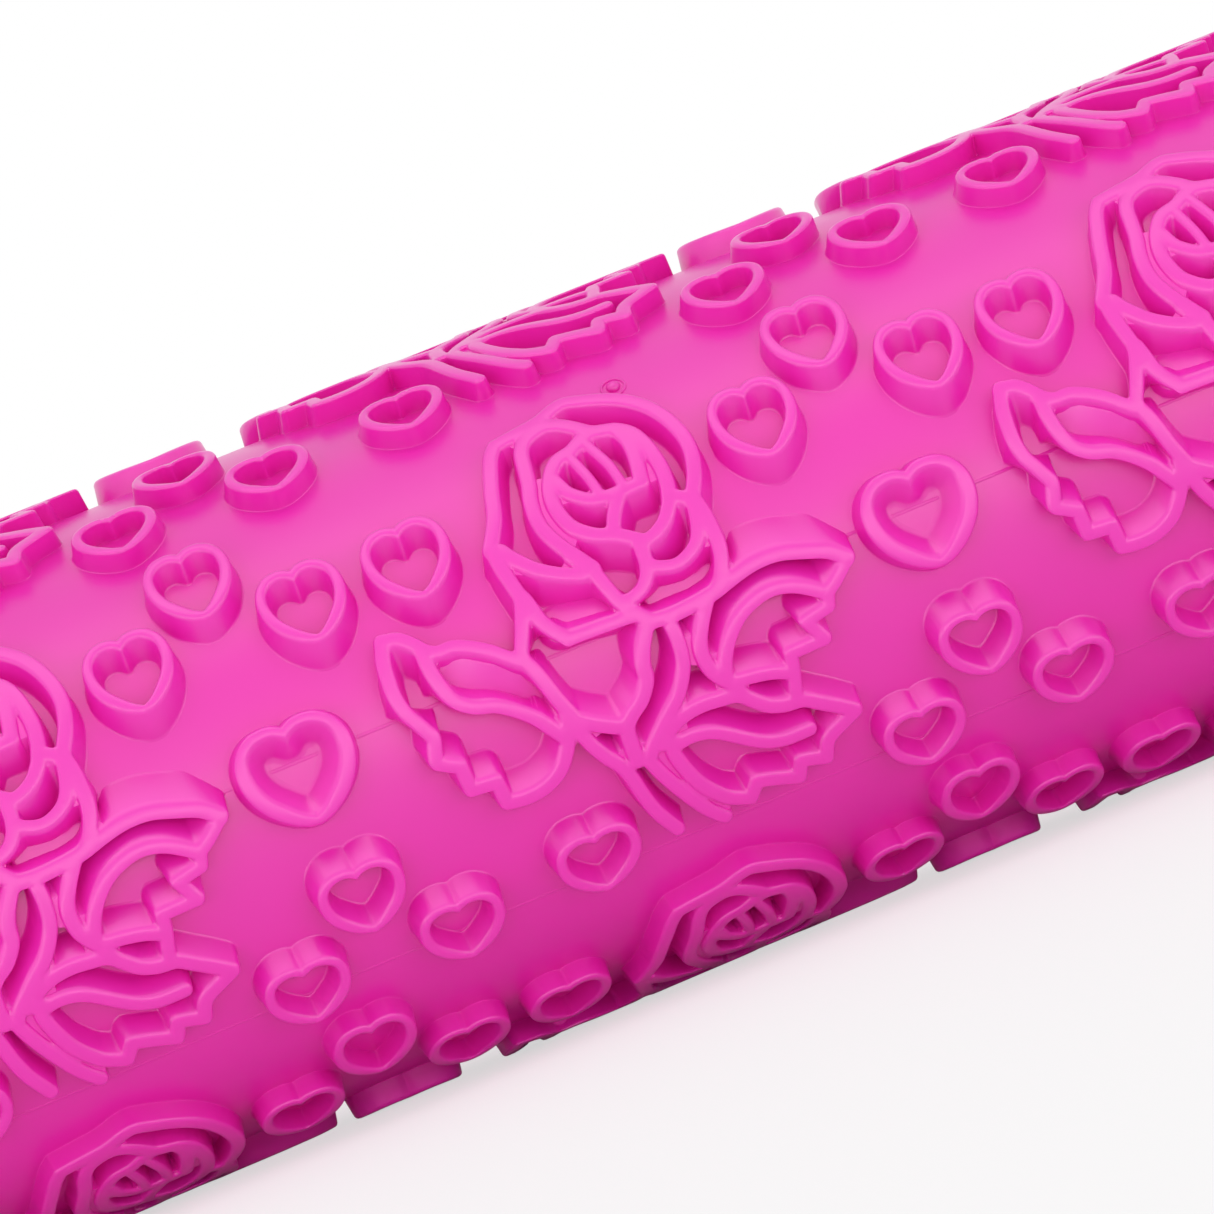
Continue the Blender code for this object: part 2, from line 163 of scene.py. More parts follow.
def pink_plastic():
    """Gloss plastic with faint clouds where it flowed, a light orange peel and some dust.

    Its colour is painted deeper low on the floor, as painted shade, and paler up the sides
    and on the tops of the ridges, as painted light that glows through the thin ridges.
    """
    finish = Finish("pink_gloss_plastic", (0.80, 0.008, 0.43), 0.36, IOR=1.58,
                    Coat_Weight=0.5, Coat_Roughness=0.28)
    clouds = finish.noise(38, 3.0, (0.4, 1, 1))
    mottle = finish.noise(420)
    # Painted light and shade: by height above the axle, the colour goes from the shaded floor pinks to
    # the lit top pinks
    inputs = {"Value": finish.from_axis(), "From Min": 23.25 * MM, "From Max": 24.9 * MM}
    painted_light_rise = finish.node("ShaderNodeMapRange", {"interpolation_type": "SMOOTHSTEP"}, inputs)["Result"]
    colour = finish.mix(painted_light_rise, finish.mix(clouds, *SHADED_FLOOR_PINKS), finish.mix(clouds, *LIT_TOP_PINKS))
    cells = finish.node("ShaderNodeTexVoronoi", {}, {"Vector": finish.place, "Scale": 260.0})
    few = finish.node("ShaderNodeSeparateColor", {}, {0: cells["Color"]})["Red"] > DUSTY_CELLS_ABOVE
    speck = few * (cells["Distance"] < DUST_SIZE)
    finish.set_input("Base Color", finish.mix(speck * DUST_STRENGTH, colour, DUST_PINK))
    finish.set_input("Roughness", 0.34 + 0.08 * clouds + 0.06 * mottle - 0.06 * painted_light_rise)
    peel = finish.noise(1500, 1.0)
    finish.bump(peel + 2.0 * mottle, 0.004 * MM)
    return finish.material


def clear_selection():
    if bpy.context.object and bpy.context.object.mode != "OBJECT":
        bpy.ops.object.mode_set(mode="OBJECT")
    bpy.ops.object.select_all(action="DESELECT")


def face_outwards(piece):
    """Turn a closed shape's faces round where they all look inwards."""
    whole = bmesh.new()
    whole.from_mesh(piece.data)
    if whole.calc_volume(signed=True) < 0:
        bmesh.ops.reverse_faces(whole, faces=whole.faces)
        whole.to_mesh(piece.data)
    whole.free()


def turned(name, stations, sides, closed=True):
    """Draw a ring out along X from one (place, radius) to the next, as on a lathe.

    A closed shape comes back to its first ring, and an open one has its two
    ends filled.
    """
    clear_selection()
    start, radius = stations[0]
    fill = "NOTHING" if closed else "NGON"
    bpy.ops.mesh.primitive_circle_add(vertices=sides, radius=radius, location=(start, 0, 0),
                                      rotation=(0, math.pi / 2, 0), fill_type=fill)
    piece = bpy.context.object
    piece.name = piece.data.name = name
    bpy.ops.object.transform_apply(location=True, rotation=True, scale=True)
    bpy.ops.object.mode_set(mode="EDIT")
    bpy.ops.mesh.select_all(action="SELECT")
    for (x0, r0), (x1, r1) in zip(stations, stations[1:]):
        bpy.ops.mesh.extrude_region_move(TRANSFORM_OT_translate={"value": (x1 - x0, 0, 0)})
        bpy.ops.transform.resize(value=(1, r1 / r0, r1 / r0), center_override=(0, 0, 0))
    if closed:
        bpy.ops.mesh.select_all(action="SELECT")
        bpy.ops.mesh.remove_doubles(threshold=0.001 * MM)
    bpy.ops.mesh.select_all(action="SELECT")
    bpy.ops.mesh.normals_make_consistent(inside=False)
    bpy.ops.object.mode_set(mode="OBJECT")
    face_outwards(piece)
    return piece


def smooth(piece, degrees=35):
    clear_selection()
    piece.select_set(True)
    bpy.context.view_layer.objects.active = piece
    bpy.ops.object.shade_smooth_by_angle(angle=math.radians(degrees))


def dress(piece, material, body, node):
    """Give a piece its finish, hang it on its body and let it stand for a CAD node."""
    piece.data.materials.clear()
    piece.data.materials.append(material)
    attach(piece, body)
    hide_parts(node)


pink = pink_plastic()
tube_profile = [(-BARREL_END, BORE_RADIUS), (-BARREL_END, FLOOR_RADIUS - RIM_CHAMFER),
                (-BARREL_END + RIM_CHAMFER, FLOOR_RADIUS)]
tube_profile += [(station * BARREL_STATION_GAP, FLOOR_RADIUS) for station in range(-4, 5)]
tube_profile += [(BARREL_END - RIM_CHAMFER, FLOOR_RADIUS), (BARREL_END, FLOOR_RADIUS - RIM_CHAMFER),
                 (BARREL_END, BORE_RADIUS), (-BARREL_END, BORE_RADIUS)]
tube = turned("barrel_tube", tube_profile, BARREL_SIDES)
smooth(tube)
dress(tube, pink, "roller", "embossed_barrel")


# The embossing, moulded in one with the tube. Each quarter turn of the barrel
# is a row of four sprays, and each spray is a rose on its stem with three
# leaves, all in ridges of one height with rounded edges and sloping sides.
PITCH = 46.4 * MM
TOP_RADIUS = 24.98 * MM
SUNK = 0.012 * MM
RIDGE_HEIGHT = TOP_RADIUS - FLOOR_RADIUS + SUNK
QUARTER = math.pi / 2 * TOP_RADIUS
PATTERN_MIDDLE = 2.025
ROWS = 4
CELLS = 4
EDGE_ROUND = 0.32 * MM
FOOT_ROUND = 0.15 * MM
SIDE_SLOPE = math.radians(9)

# Each ridge: the width of its top in mm, then its middle line as shares, along
# the barrel of the pitch and around it of a quarter turn
RIDGE_SHARES = {
    "outer petal": (1.10, (
        (.350, -.235), (.365, -.265), (.378, -.295), (.388, -.335), (.400, -.375), (.412, -.410),
        (.425, -.432), (.455, -.438), (.500, -.447), (.530, -.462), (.550, -.466), (.575, -.455),
        (.600, -.442), (.630, -.420), (.655, -.390), (.672, -.355), (.682, -.320), (.686, -.290),
        (.684, -.260), (.675, -.225), (.662, -.195), (.655, -.180))),
    "second petal": (1.10, (
        (.563, -.380), (.557, -.388), (.543, -.405), (.525, -.422), (.505, -.430), (.483, -.425),
        (.465, -.412), (.455, -.390), (.450, -.360), (.444, -.325), (.436, -.295), (.432, -.260),
        (.435, -.230), (.447, -.195), (.462, -.165), (.478, -.135))),
    "third petal": (1.10, (
        (.565, -.378), (.545, -.372), (.525, -.358), (.500, -.350), (.485, -.335), (.472, -.310),
        (.465, -.280), (.466, -.250), (.474, -.220), (.488, -.200), (.505, -.185), (.522, -.177),
        (.540, -.165), (.560, -.147))),
    "third petal's foot": (1.10, (
        (.562, -.140), (.585, -.148), (.603, -.162), (.617, -.182), (.627, -.203))),
    "third petal's right": (1.10, (
        (.575, -.375), (.600, -.365), (.618, -.345), (.627, -.320), (.632, -.290), (.634, -.260),
        (.632, -.230), (.627, -.205))),
    "third petal's lining": (1.10, (
        (.600, -.360), (.607, -.335), (.607, -.305), (.603, -.275), (.598, -.250))),
    "bud's rim": (1.00, (
        (.483, -.310), (.490, -.285), (.500, -.270), (.515, -.255), (.530, -.248), (.560, -.245),
        (.598, -.246))),
    "bud's left fold": (.75, ((.517, -.350), (.524, -.320), (.530, -.290), (.534, -.255))),
    "bud's right fold": (.75, ((.548, -.362), (.558, -.330), (.566, -.300), (.571, -.255))),
    "bud's tip": (1.05, ((.560, -.243), (.555, -.235), (.540, -.210), (.528, -.180))),
    "petal link": (1.10, ((.628, -.202), (.655, -.182))),
    "lower right petal": (1.10, (
        (.655, -.175), (.648, -.138), (.637, -.110), (.620, -.092), (.595, -.082), (.572, -.088),
        (.555, -.100))),
    "lower right edge": (1.10, (
        (.658, -.180), (.663, -.150), (.664, -.120), (.664, -.090), (.659, -.060), (.648, -.030),
        (.635, -.012))),
    "lower middle petal": (1.10, (
        (.556, -.140), (.554, -.110), (.547, -.085), (.533, -.065), (.512, -.055), (.495, -.056))),
    "lower left petal": (1.10, (
        (.455, -.170), (.475, -.130), (.485, -.090), (.495, -.055), (.510, -.025), (.525, -.003))),
    "left petal": (1.10, ((.365, -.225), (.375, -.205), (.400, -.170), (.430, -.145), (.460, -.128))),
    "left edge": (1.10, ((.352, -.235), (.353, -.200), (.357, -.170), (.362, -.135))),
    "left edge's outer fork": (1.10, ((.362, -.130), (.345, -.080), (.328, -.035))),
    "left edge's inner fork": (1.10, ((.368, -.115), (.375, -.080), (.388, -.050), (.402, -.030))),
    "left edge's web": (1.30, ((.364, -.128), (.368, -.098))),
    "rose's base": (1.10, ((.402, -.029), (.510, -.025), (.525, -.005))),
    "upper right leaf's back": (1.20, (
        (.525, -.003), (.560, .001), (.600, -.003), (.630, -.008), (.660, -.018), (.700, -.028),
        (.740, -.027), (.780, -.012), (.810, .002), (.833, .025))),
    "left sepal": (1.15, (
        (.515, .005), (.500, .035), (.490, .065), (.487, .090), (.470, .118), (.450, .135),
        (.435, .152))),
    "left sepal's edge": (1.15, ((.435, .152), (.415, .142), (.390, .125), (.370, .108), (.360, .095))),
    "left sepal's foot": (1.15, ((.433, .165), (.432, .190), (.433, .218))),
    "left of the stem": (1.05, (
        (.365, .115), (.373, .150), (.388, .185), (.406, .215), (.416, .245), (.424, .285),
        (.435, .325), (.449, .357), (.458, .376))),
    "right of the stem": (1.05, (
        (.551, .020), (.552, .050), (.548, .085), (.536, .115), (.520, .140), (.500, .160),
        (.480, .183), (.462, .205), (.450, .228), (.457, .250), (.470, .282), (.486, .316),
        (.503, .350), (.519, .375), (.532, .391))),
    "upper right leaf's foot": (1.10, (
        (.612, .005), (.595, .035), (.582, .065), (.578, .090), (.582, .118), (.595, .142),
        (.608, .155))),
    "upper right leaf's rib": (1.05, (
        (.600, .140), (.608, .110), (.625, .078), (.650, .050), (.680, .033), (.710, .027),
        (.740, .035), (.765, .052), (.785, .070))),
    "upper right leaf's teeth": (1.00, (
        (.833, .027), (.805, .055), (.787, .068), (.781, .092), (.740, .102), (.759, .143),
        (.702, .144), (.699, .170), (.693, .200), (.688, .228))),
    "upper right leaf's belly": (1.00, ((.605, .152), (.640, .157), (.670, .165), (.695, .178))),
    "lower right leaf": (1.10, (
        (.475, .207), (.495, .187), (.520, .174), (.550, .169), (.580, .172), (.607, .178),
        (.625, .197), (.645, .217), (.670, .228), (.697, .232), (.720, .250), (.745, .270),
        (.767, .290), (.745, .303), (.725, .315), (.712, .330), (.705, .357), (.685, .348),
        (.666, .342), (.657, .373), (.625, .358), (.593, .346), (.578, .374), (.560, .365),
        (.540, .350), (.515, .315), (.500, .280), (.490, .245), (.488, .225), (.495, .212))),
    "leaf link": (1.10, ((.607, .155), (.612, .178))),
    "lower right leaf's rib": (1.00, (
        (.490, .220), (.520, .215), (.550, .222), (.575, .240), (.600, .262), (.625, .280),
        (.655, .290), (.693, .290))),
    "left leaf's edge": (1.10, (
        (.148, -.153), (.138, -.120), (.134, -.080), (.134, -.050), (.139, -.020), (.147, .000),
        (.158, .028), (.163, .045), (.155, .078), (.155, .085), (.185, .105), (.187, .150),
        (.226, .154), (.230, .197), (.260, .202), (.290, .198), (.320, .180), (.340, .150),
        (.353, .118), (.360, .090))),
    "left leaf's back": (1.10, (
        (.148, -.153), (.170, -.148), (.188, -.130), (.203, -.108), (.220, -.098), (.240, -.098),
        (.265, -.085), (.290, -.065), (.310, -.043), (.322, -.030))),
    "left leaf's rib": (1.10, (
        (.196, -.110), (.196, -.080), (.201, -.040), (.212, -.005), (.235, .018), (.265, .030),
        (.290, .050), (.312, .075), (.330, .105), (.345, .130))),
    "left leaf's stalk": (1.10, (
        (.326, -.033), (.337, -.005), (.346, .030), (.353, .060), (.362, .090), (.366, .112))),
}

# Each heart ring: its centre, its width and height, and how steep the sides of
# its opening are next to the others, then the right halves of its edge and of
# its opening
HEART_SHARES = (
    (0.068, -0.277, 0.134, 0.160, 1.0),
    (0.235, -0.277, 0.134, 0.160, 1.0),
    (0.795, -0.277, 0.134, 0.160, 1.0),
    (0.928, -0.404, 0.132, 0.165, 1.0),
    (0.964, 0.005, 0.180, 0.194, 0.25),
    (0.984, 0.262, 0.134, 0.132, 1.0),
    (0.108, 0.398, 0.134, 0.130, 1.0),
    (0.333, 0.376, 0.134, 0.130, 1.0),
    (0.861, 0.398, 0.134, 0.130, 1.0),
)
HEART_EDGE_SHARES = (
    (0, -.44), (.07, -.485), (.17, -.50), (.30, -.475), (.42, -.375), (.49, -.22),
    (.495, -.03), (.44, .15), (.33, .31), (.19, .43), (.07, .49), (0, .50),
)
HEART_OPENING_SHARES = (
    (0, -.30), (.06, -.355), (.15, -.385), (.26, -.36), (.345, -.28), (.375, -.16),
    (.355, -.01), (.29, .13), (.19, .25), (.09, .35), (0, .405),
)

# The mould opened in slides, two to a row, and the sides of the ridges lean
# along the way their own slide left, up to a steepest lean. One slide shaped the
# rose's petals and the other its base, its stem and the right leaves, and in a
# band along the parting between them, the lean goes over from one to the other.
UPPER_SLIDE = (math.radians(-55), math.radians(45))
LOWER_SLIDE = (math.radians(50), math.radians(52))
PARTING_BAND = 2.5 * MM
PARTING_SHARES = (
    (-.100, -.015), (.165, -.015), (.195, -.035), (.215, -.045), (.240, -.031), (.265, -.018),
    (.290, .002), (.308, .022), (.320, .024), (.345, -.030), (.370, -.055), (.400, -.085),
    (.430, -.078), (.460, -.071), (.485, -.060), (.500, -.045), (.525, -.036), (.560, -.041),
    (.600, -.037), (.630, -.045), (.655, -.052), (.672, -.075), (.690, -.110), (.715, -.124),
    (.760, -.122), (.810, -.085), (.858, -.015), (1.200, -.015),
)

# Below the petals and in the left leaf, two sides meet above the floor, in a
# sloping bed. Each bed: its width in mm, its rise at the upper edge, the middle
# and the lower edge as shares of the relief, and its line
BEDS = (
    (2.9, (0.12, 0.45, 1.00), ((.405, -.062), (.430, -.061), (.455, -.058), (.478, -.054))),
    (1.8, (0.25, 0.25, 0.25), (
        (.553, -.046), (.575, -.043), (.600, -.038), (.622, -.035), (.638, -.042))),
    (3.0, (0.80, 0.42, 0.14), (
        (.214, -.066), (.232, -.046), (.252, -.028), (.275, -.010), (.298, .006), (.318, .022))),
)

# The grid that the motifs are drawn on, and how finely
GRID_STEP = 0.08 * MM
ALONG_GRID = np.arange(-0.04 * PITCH, 1.10 * PITCH, GRID_STEP)
AROUND_GRID = np.arange(-0.52 * QUARTER, 0.50 * QUARTER, GRID_STEP)
CORNER_TURN = math.radians(42)
LINE_STEP = 0.35 * MM
FAR = 9 * MM
FIELD_REACH = 2.2 * MM
BLEND = 0.2 * MM
SMOOTHINGS = 2
SLACK_STEPS = 0.0025 * MM / GRID_STEP
LONGEST_STEPS = 0.6 * MM / GRID_STEP
FEWEST_PLACES = 6
EDGE_STEPS = 3
FOOT_STEPS = 2
BOTTOM_HEIGHT = -0.25 * MM
SAME_PLACE = 1e-7


def flowing_line(places):
    """A smooth line through the places, in metres, that keeps its sharp turns."""
    places = [np.array(place, float) for place in places]
    runs = [[places[0]]]
    for before, here, after in zip(places, places[1:], places[2:]):
        runs[-1].append(here)
        into = here - before
        out = after - here
        turn = math.acos(np.clip(into @ out / np.linalg.norm(into) / np.linalg.norm(out), -1, 1))
        if turn > CORNER_TURN:
            runs.append([here])
    runs[-1].append(places[-1])
    line = [places[0]]
    for run in runs:
        padded = [2 * run[0] - run[1], *run, 2 * run[-1] - run[-2]]
        for a, b, c, d in zip(padded, padded[1:], padded[2:], padded[3:]):
            count = max(2, int(np.linalg.norm(c - b) / LINE_STEP) + 1)
            for step in range(1, count + 1):
                s = step / count
                line.append((2 * b + (c - a) * s + (2 * a - 5 * b + 4 * c - d) * s ** 2
                             + (3 * b - a - 3 * c + d) * s ** 3) / 2)
    return np.array(line)


def distance_to_line(line):
    """How far each place on the grid lies from a line, up to a little past a ridge's foot."""
    distance = np.full((len(AROUND_GRID), len(ALONG_GRID)), FAR)
    for start, end in zip(line, line[1:]):
        low = np.minimum(start, end) - FIELD_REACH
        high = np.maximum(start, end) + FIELD_REACH
        columns = slice(*np.searchsorted(ALONG_GRID, (low[0], high[0])))
        rows = slice(*np.searchsorted(AROUND_GRID, (low[1], high[1])))
        x = ALONG_GRID[None, columns] - start[0]
        y = AROUND_GRID[rows, None] - start[1]
        step = end - start
        share = np.clip((x * step[0] + y * step[1]) / max(step @ step, 1e-18), 0, 1)
        block = distance[rows, columns]
        np.minimum(block, np.hypot(x - share * step[0], y - share * step[1]), out=block)
    return distance


def within(line):
    """Which places on the grid a closed line goes round."""
    x = ALONG_GRID[None, :]
    y = AROUND_GRID[:, None]
    result = np.zeros((len(AROUND_GRID), len(ALONG_GRID)), bool)
    for (ax, ay), (bx, by) in zip(line, line[1:]):
        if ay != by:
            result ^= ((ay > y) != (by > y)) & (x < ax + (bx - ax) * (y - ay) / (by - ay))
    return result


def spray_field():
    """Distance from the edge of a spray's ridge tops, below zero on top of them."""
    field = None
    for width, places in RIDGE_SHARES.values():
        line = flowing_line(np.array(places) * (PITCH, QUARTER))
        ridge = distance_to_line(line) - width * MM / 2
        if field is None:
            field = ridge
            continue
        share = np.clip((ridge - field) / (2 * BLEND) + 0.5, 0, 1)
        field = ridge + (field - ridge) * share - BLEND * share * (1 - share)
    return field


def heart_field(along, around, width, height, steepness):
    """Distance from the edge of one heart ring's top, which grows slower down a funnel."""
    fields = []
    for half in (HEART_EDGE_SHARES, HEART_OPENING_SHARES):
        outline = [*half, *((-x, y) for x, y in half[-2:0:-1]), half[0]]
        shares = np.array(outline) * (width, height) + (along, around)
        line = flowing_line(shares * (PITCH, QUARTER))
        distance = distance_to_line(line)
        fields.append(np.where(within(line), -distance, distance))
    funnel = -fields[1] * np.where(fields[1] < 0, steepness, 1)
    return np.maximum(fields[0], funnel)


def level_lines(field, level):
    """The closed lines where a field has one value, in grid steps."""
    inside = field < level
    mixed = inside[:-1, :-1] != inside[1:, 1:]
    mixed |= (inside[:-1, :-1] != inside[1:, :-1]) | (inside[:-1, :-1] != inside[:-1, 1:])
    following = {}
    for row, column in zip(*(numbers.tolist() for numbers in np.nonzero(mixed))):
        corners = ((row, column), (row, column + 1), (row + 1, column + 1), (row + 1, column))
        leaving = []
        entering = []
        for here, after in zip(corners, corners[1:] + corners[:1]):
            if inside[here] != inside[after]:
                (leaving if inside[here] else entering).append((min(here, after), max(here, after)))
        if len(leaving) == 2 and sum(field[corner] for corner in corners) / 4 < level:
            leaving.reverse()
        following.update(zip(leaving, entering))
    lines = []
    while following:
        edge = next(iter(following))
        line = []
        while edge in following:
            (r0, c0), (r1, c1) = edge
            share = (level - field[r0, c0]) / (field[r1, c1] - field[r0, c0])
            line.append((c0 + (c1 - c0) * share, r0 + (r1 - r0) * share))
            edge = following.pop(edge)
        lines.append(np.array(line))
    return lines


def thinned(line):
    """A closed line with its grid steps smoothed out and only the places that it needs."""
    for _ in range(SMOOTHINGS):
        line = (np.roll(line, 1, 0) + 2 * line + np.roll(line, -1, 0)) / 4
    count = len(line)
    kept = []
    start = 0
    while start < count:
        kept.append(start)
        best = start + 1
        for end in range(start + 2, count + 1):
            span = line[end % count] - line[start]
            length = math.hypot(*span)
            run = line[start + 1:end] - line[start]
            aside = np.abs(run[:, 0] * span[1] - run[:, 1] * span[0]).max()
            if length > LONGEST_STEPS or aside > SLACK_STEPS * length:
                break
            best = end
        start = best
    return line[kept]


def side_levels():
    """Each level line of a ridge as (distance from its edge, height), from its top to its foot."""
    turn = math.pi / 2 - SIDE_SLOPE
    levels = []
    for step in range(EDGE_STEPS + 1):
        angle = turn * step / EDGE_STEPS
        out = EDGE_ROUND * (math.sin(angle) - math.tan(turn / 2))
        levels.append((out, RIDGE_HEIGHT - EDGE_ROUND * (1 - math.cos(angle))))
    foot = RIDGE_HEIGHT * math.tan(SIDE_SLOPE) + FOOT_ROUND * math.tan(turn / 2)
    for step in range(FOOT_STEPS, -1, -1):
        angle = turn * step / FOOT_STEPS
        levels.append((foot - FOOT_ROUND * math.sin(angle), FOOT_ROUND * (1 - math.cos(angle))))
    return levels


def lookup(field, places):
    """The field's value at each place, read between the four nearest places on the grid."""
    columns = np.clip((places[:, 0] - ALONG_GRID[0]) / GRID_STEP, 0, field.shape[1] - 1.001)
    rows = np.clip((places[:, 1] - AROUND_GRID[0]) / GRID_STEP, 0, field.shape[0] - 1.001)
    column, row = columns.astype(int), rows.astype(int)
    across, up = columns - column, rows - row
    near = field[row, column] * (1 - across) + field[row, column + 1] * across
    far = field[row + 1, column] * (1 - across) + field[row + 1, column + 1] * across
    return near * (1 - up) + far * up


def triangles_between(places, edges):
    """Triangles over all the places that keep the edges, and where each new place came from."""
    made = delaunay_2d_cdt([Vector(place) for place in places / PITCH], edges, [], 0, SAME_PLACE)
    corners = np.array([tuple(corner) for corner in made[0]]) * PITCH
    origins = np.array([sources[0] if sources else -1 for sources in made[3]])
    return corners, np.array(made[2]), origins


def flat_motif(field):
    """A motif laid out flat: places as (along, around, height), and its upper triangles."""
    places = []
    heights = []
    edges = []
    levels = side_levels()
    for distance, height in levels:
        for line in level_lines(field, distance):
            line = thinned(line)
            if len(line) < FEWEST_PLACES:
                continue
            numbers = len(heights) + np.arange(len(line))
            edges.extend(zip(numbers.tolist(), np.roll(numbers, -1).tolist()))
            places.append(line * GRID_STEP + (ALONG_GRID[0], AROUND_GRID[0]))
            heights.extend([height] * len(line))
    drawn = len(heights)
    corners, faces, origins = triangles_between(np.vstack(places), edges)
    distances = lookup(field, corners)
    tops = np.interp(distances, *zip(*levels))
    kept = (origins >= 0) & (origins < drawn)
    tops[kept] = np.array(heights)[origins[kept]]
    inside = lookup(field, corners[faces].mean(1)) < levels[-1][0]
    faces = faces[inside | (tops[faces].max(1) > 0)]
    return np.column_stack([corners, tops]), faces


def closed_below(places, faces):
    """Close a motif with upright sides and a bottom sunk in the tube."""
    used, faces = np.unique(faces, return_inverse=True)
    places = places[used]
    faces = faces.reshape(-1, 3)
    directed = {(a, b) for face in faces.tolist() for a, b in zip(face, face[1:] + face[:1])}
    rim = [(a, b) for a, b in directed if (b, a) not in directed]
    rim_vertices = sorted({vertex for edge in rim for vertex in edge})
    number_of = {vertex: number for number, vertex in enumerate(rim_vertices)}
    edges = [(number_of[a], number_of[b]) for a, b in rim]
    corners, bottom, origins = triangles_between(places[rim_vertices, :2], edges)
    starts, ends = (places[list(vertices), :2] for vertices in zip(*rim))
    middles = corners[bottom].mean(1)[:, None]
    rises = (starts[:, 1] > middles[..., 1]) != (ends[:, 1] > middles[..., 1])
    heights = np.where(ends[:, 1] == starts[:, 1], 1, ends[:, 1] - starts[:, 1])
    slopes = (ends[:, 0] - starts[:, 0]) / heights
    right = middles[..., 0] < starts[:, 0] + slopes * (middles[..., 1] - starts[:, 1])
    bottom = bottom[(rises & right).sum(1) % 2 == 1]
    below = np.column_stack([corners, np.full(len(corners), BOTTOM_HEIGHT)])
    under = {rim_vertices[origin]: number + len(places)
             for number, origin in enumerate(origins.tolist()) if origin >= 0}
    sides = [(b, a, under[a]) for a, b in rim] + [(b, under[a], under[b]) for a, b in rim]
    faces = np.vstack([faces, bottom[:, ::-1] + len(places), np.array(sides)])
    return np.vstack([places, below]), faces


def on_barrel(flat, leans):
    """Wrap flat places round the barrel, and lean what lies below the top as its slide left it."""
    angle = flat[:, 1] / TOP_RADIUS
    if leans:
        parting = np.array(PARTING_SHARES) * (PITCH, QUARTER)
        past = (flat[:, 1] - np.interp(flat[:, 0], *parting.T)) / PARTING_BAND
        share = np.clip(past / 2 + 0.5, 0, 1)
        upper, lower = (np.tan(np.clip(way - angle, -steepest, steepest))
                        for way, steepest in (UPPER_SLIDE, LOWER_SLIDE))
        lean = upper + (lower - upper) * share
        angle = angle - lean * (RIDGE_HEIGHT - flat[:, 2]) / TOP_RADIUS
    radius = FLOOR_RADIUS - SUNK + flat[:, 2]
    x = flat[:, 0] - PATTERN_MIDDLE * PITCH
    return np.column_stack([x, -radius * np.cos(angle), -radius * np.sin(angle)])


def mesh_piece(name, places, faces):
    mesh = bpy.data.meshes.new(name)
    mesh.from_pydata([tuple(place) for place in places], [], [tuple(face) for face in faces])
    mesh.update()
    piece = bpy.data.objects.new(name, mesh)
    bpy.context.scene.collection.objects.link(piece)
    return piece


def sloping_bed(width, rises, shares):
    """A bed's flat places, which rise from one of its edges to the other, and its triangles."""
    line = flowing_line(np.array(shares) * (PITCH, QUARTER))
    flat, triangles = flat_motif(distance_to_line(line) - width * MM / 2)
    across = (flat[:, 1] - np.interp(flat[:, 0], *line.T)) / (width * MM)
    flat[:, 2] *= np.interp(across, (-0.5, 0, 0.5), rises)
    return flat, triangles


def moulded_cell():
    """One spray and its hearts as wrapped places and faces. A heart with a funnel stands straight."""
    motifs = [(*flat_motif(spray_field()), True)]
    motifs += [(*flat_motif(heart_field(*heart)), heart[-1] == 1) for heart in HEART_SHARES]
    motifs += [(*sloping_bed(*bed), False) for bed in BEDS]
    places = []
    faces = []
    count = 0
    for flat, triangles, leans in motifs:
        closed, closed_faces = closed_below(flat, triangles)
        places.append(on_barrel(closed, leans))
        faces.append(closed_faces[:, ::-1] + count)
        count += len(closed)
    return np.vstack(places), np.vstack(faces)


cell_places, cell_faces = moulded_cell()
for row in range(ROWS):
    turn = np.array(Matrix.Rotation(row * math.pi / 2, 3, "X"))
    for cell in range(CELLS):
        placed = cell_places @ turn.T + (cell * PITCH, 0, 0)
        name = "embossing_row%d_spray%d" % (row + 1, cell + 1)
        spray = mesh_piece(name, placed, cell_faces.tolist())
        smooth(spray, 40)
        dress(spray, pink, "roller", "embossed_barrel")


# The fine lines that the edges of the mould's slides left along the floor, each
# hardly proud of it. One more mark, a cut-off gate in a shallow ring, lies
# beside a rose where the plastic came in.
LINE_WIDTH = 0.26 * MM
LINE_RISE = 0.035 * MM
LINE_REACH = 98.4 * MM
LINE_BEVEL = 0.01 * MM
LINE_SHARES = (-0.015, 0.430, 0.985, 1.985, 2.430, 2.985)
GATE_SHARES = (2.6355, -0.4995)
GATE_RADIUS = 0.52 * MM
GATE_FLATTENING = 0.8
GATE_RING_RADIUS = 0.84 * MM
GATE_RING_THICKNESS = 0.11 * MM


def turned_round(piece, share):
    """Turn a piece that is modelled straight in front of the barrel round to its place."""
    clear_selection()
    piece.select_set(True)
    bpy.context.view_layer.objects.active = piece
    bpy.ops.object.mode_set(mode="EDIT")
    bpy.ops.mesh.select_all(action="SELECT")
    bpy.ops.transform.rotate(value=-share * math.pi / 2, orient_axis="X", center_override=(0, 0, 0))
    bpy.ops.object.mode_set(mode="OBJECT")


lines = []
for around in LINE_SHARES:
    clear_selection()
    on_floor = (0, -FLOOR_RADIUS, 0)
    bpy.ops.mesh.primitive_cylinder_add(vertices=12, radius=LINE_WIDTH / 2, depth=2 * LINE_REACH,
                                        location=on_floor, rotation=(0, math.pi / 2, 0))
    line = bpy.context.object
    bpy.ops.object.transform_apply(location=True, rotation=True, scale=True)
    bpy.ops.object.mode_set(mode="EDIT")
    bpy.ops.mesh.select_all(action="SELECT")
    bpy.ops.transform.resize(value=(1, 2 * LINE_RISE / LINE_WIDTH, 1), center_override=on_floor)
    bpy.ops.mesh.bevel(offset=LINE_BEVEL, segments=1)
    bpy.ops.object.mode_set(mode="OBJECT")
    turned_round(line, around)
    lines.append(line)
clear_selection()
for line in lines:
    line.select_set(True)
bpy.context.view_layer.objects.active = lines[0]
bpy.ops.object.join()
mould_lines = bpy.context.object
mould_lines.name = mould_lines.data.name = "mould_lines"
smooth(mould_lines, 60)
